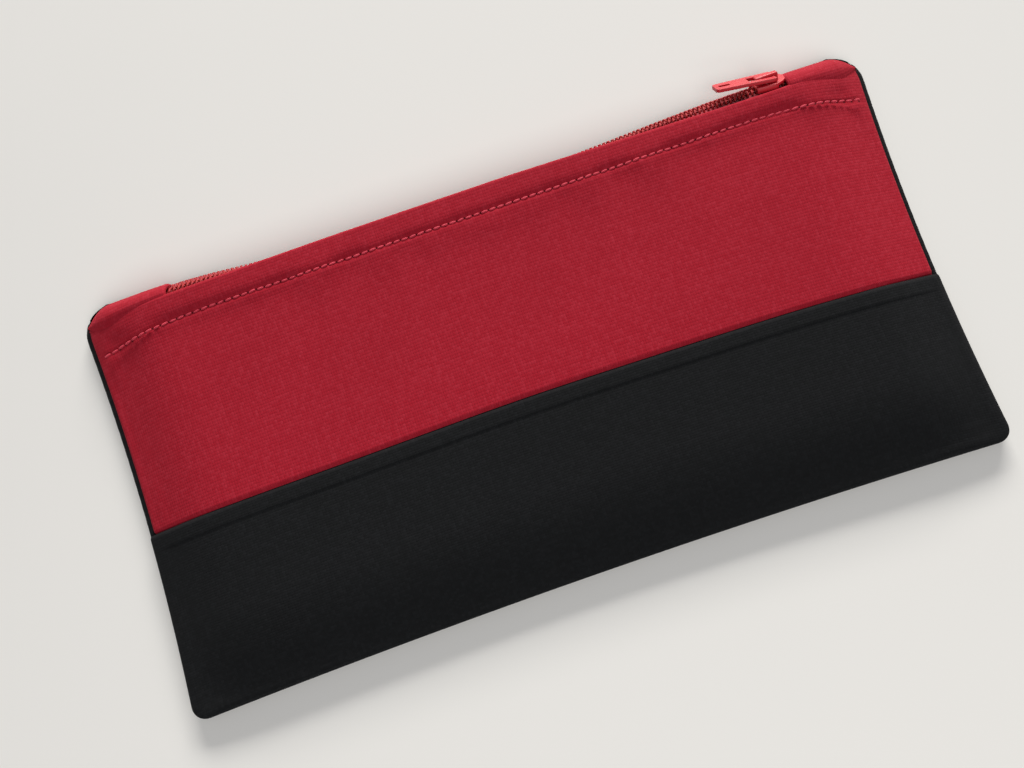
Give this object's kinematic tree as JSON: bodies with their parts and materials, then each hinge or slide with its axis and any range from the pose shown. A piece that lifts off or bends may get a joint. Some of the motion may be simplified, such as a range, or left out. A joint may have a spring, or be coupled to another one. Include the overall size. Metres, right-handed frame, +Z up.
{
  "type": "pencil case",
  "caption": "Flat zip pencil case: two-tone canvas front panel, dark canvas back, cotton lining, coil zip with folded end tabs, lock slider and pull tab.",
  "frame": {"origin": "middle of the flat underside of the back wall, on the surface that the case lies on", "axes": "+X along the case towards the closed end of the zip, +Y from the bottom seam to the zip, +Z up out of the front wall"},
  "size_m": [0.2288, 0.1166, 0.0109],
  "materials": {
    "black_canvas": "matt plain-weave cotton canvas",
    "red_canvas": "matt plain-weave cotton canvas",
    "lining_cotton": "plain cotton",
    "zip_tape": "woven polyester tape",
    "zip_coil": "nylon coil",
    "zip_thread": "polyester thread",
    "red_thread": "polyester thread",
    "black_thread": "polyester thread",
    "stop_metal": "painted",
    "red_enamel": "satin enamel",
    "spring_steel": "plain"
  },
  "bodies": {
    "back_wall": {"back_panel": "black_canvas", "back_lining": "lining_cotton", "back_zip_tape": "zip_tape", "back_coil": "zip_coil", "back_coil_stitching": "zip_thread", "left_end_tab": "red_canvas", "right_end_tab": "red_canvas", "bottom_stop": "stop_metal", "top_stops": "stop_metal", "back_topstitching": "red_thread", "side_and_bottom_seam_thread": "black_thread"},
    "front_wall": {"front_upper_panel": "red_canvas", "front_lower_panel": "black_canvas", "front_lining": "lining_cotton", "front_zip_tape": "zip_tape", "front_coil": "zip_coil", "front_coil_stitching": "zip_thread", "front_topstitching": "red_thread", "panel_seam_thread": "red_thread"},
    "slider": {"slider_body": "red_enamel", "slider_crown": "red_enamel", "lock_spring": "spring_steel"},
    "pull": {"pull_tab": "red_enamel"}
  },
  "joints": [
    {"name": "slider_travel", "type": "slide", "parent": "back_wall", "child": "slider", "axis": [-1, 0, 0], "range_m": [0, 0.168], "deforming": ["back_coil", "front_coil", "front_coil_stitching"]},
    {"name": "mouth_open", "type": "hinge", "parent": "back_wall", "child": "front_wall", "pos_m": [0, -0.058, 0.0024], "axis": [1, 0, 0], "range_deg": [0, 14], "deforming": ["front_zip_tape"]},
    {"name": "pull_swing", "type": "hinge", "parent": "slider", "child": "pull", "pos_m": [0.0876, 0.05653, 0.00781], "axis": [0, 0.7071, -0.7071], "range_deg": [0, 160]}
  ],
  "couplings": [
    {"joint": "mouth_open", "follows": "slider_travel", "rad_per_m": 1.45}
  ]
}
